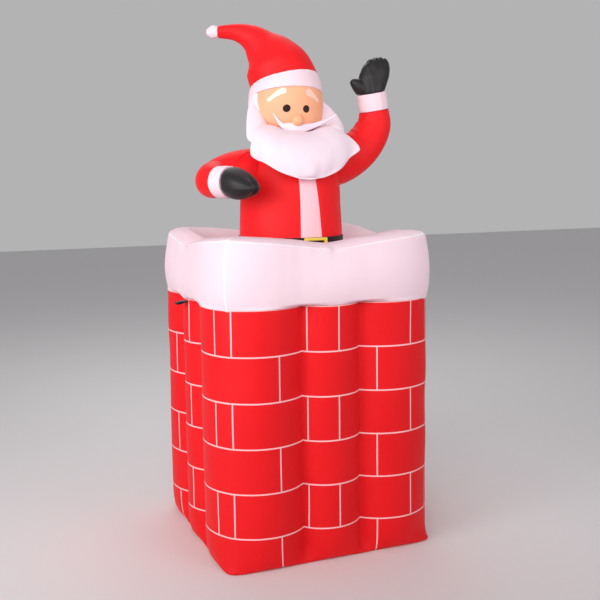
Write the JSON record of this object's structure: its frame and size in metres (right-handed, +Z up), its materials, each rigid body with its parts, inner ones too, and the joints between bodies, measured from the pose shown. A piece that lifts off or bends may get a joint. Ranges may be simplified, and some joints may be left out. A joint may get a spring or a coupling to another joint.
{
  "type": "inflatable santa",
  "caption": "Air-filled cloth yard decoration: a waving gift-bringer in red coat and drooping hat stands waist-deep in a square brick-print chimney topped with snow.",
  "frame": {"origin": "middle of the chimney's underside, on the ground", "axes": "+Z up; the figure faces -Y; its right hand is towards -X and its raised left hand towards +X"},
  "size_m": [0.7515, 0.7292, 1.6004],
  "materials": {
    "brick_cloth": "smooth light nylon, bright red with printed pale joint lines",
    "snow_cloth": "smooth white nylon with a faint sheen",
    "red_cloth": "smooth red nylon with a faint sheen",
    "white_cloth": "smooth white nylon with a faint sheen",
    "skin_cloth": "smooth nylon with printed eyes, brows and mouth",
    "glove_cloth": "smooth black nylon with a soft sheen",
    "belt_cloth": "smooth black nylon",
    "buckle_cloth": "flat yellow cloth frame",
    "webbing": "woven black webbing"
  },
  "bodies": {
    "root": {"chimney": "brick_cloth", "snow_cap": "snow_cloth", "coat": "red_cloth", "sleeve_left": "red_cloth", "sleeve_right": "red_cloth", "hat": "red_cloth", "hat_band": "white_cloth", "hat_tip": "white_cloth", "hair": "white_cloth", "beard": "white_cloth", "moustache": "white_cloth", "cuff_left": "white_cloth", "cuff_right": "white_cloth", "face": "skin_cloth", "nose": "skin_cloth", "glove_left": "glove_cloth", "glove_right": "glove_cloth", "belt": "belt_cloth", "belt_buckle": "buckle_cloth", "tether_tab": "webbing"}
  },
  "joints": []
}
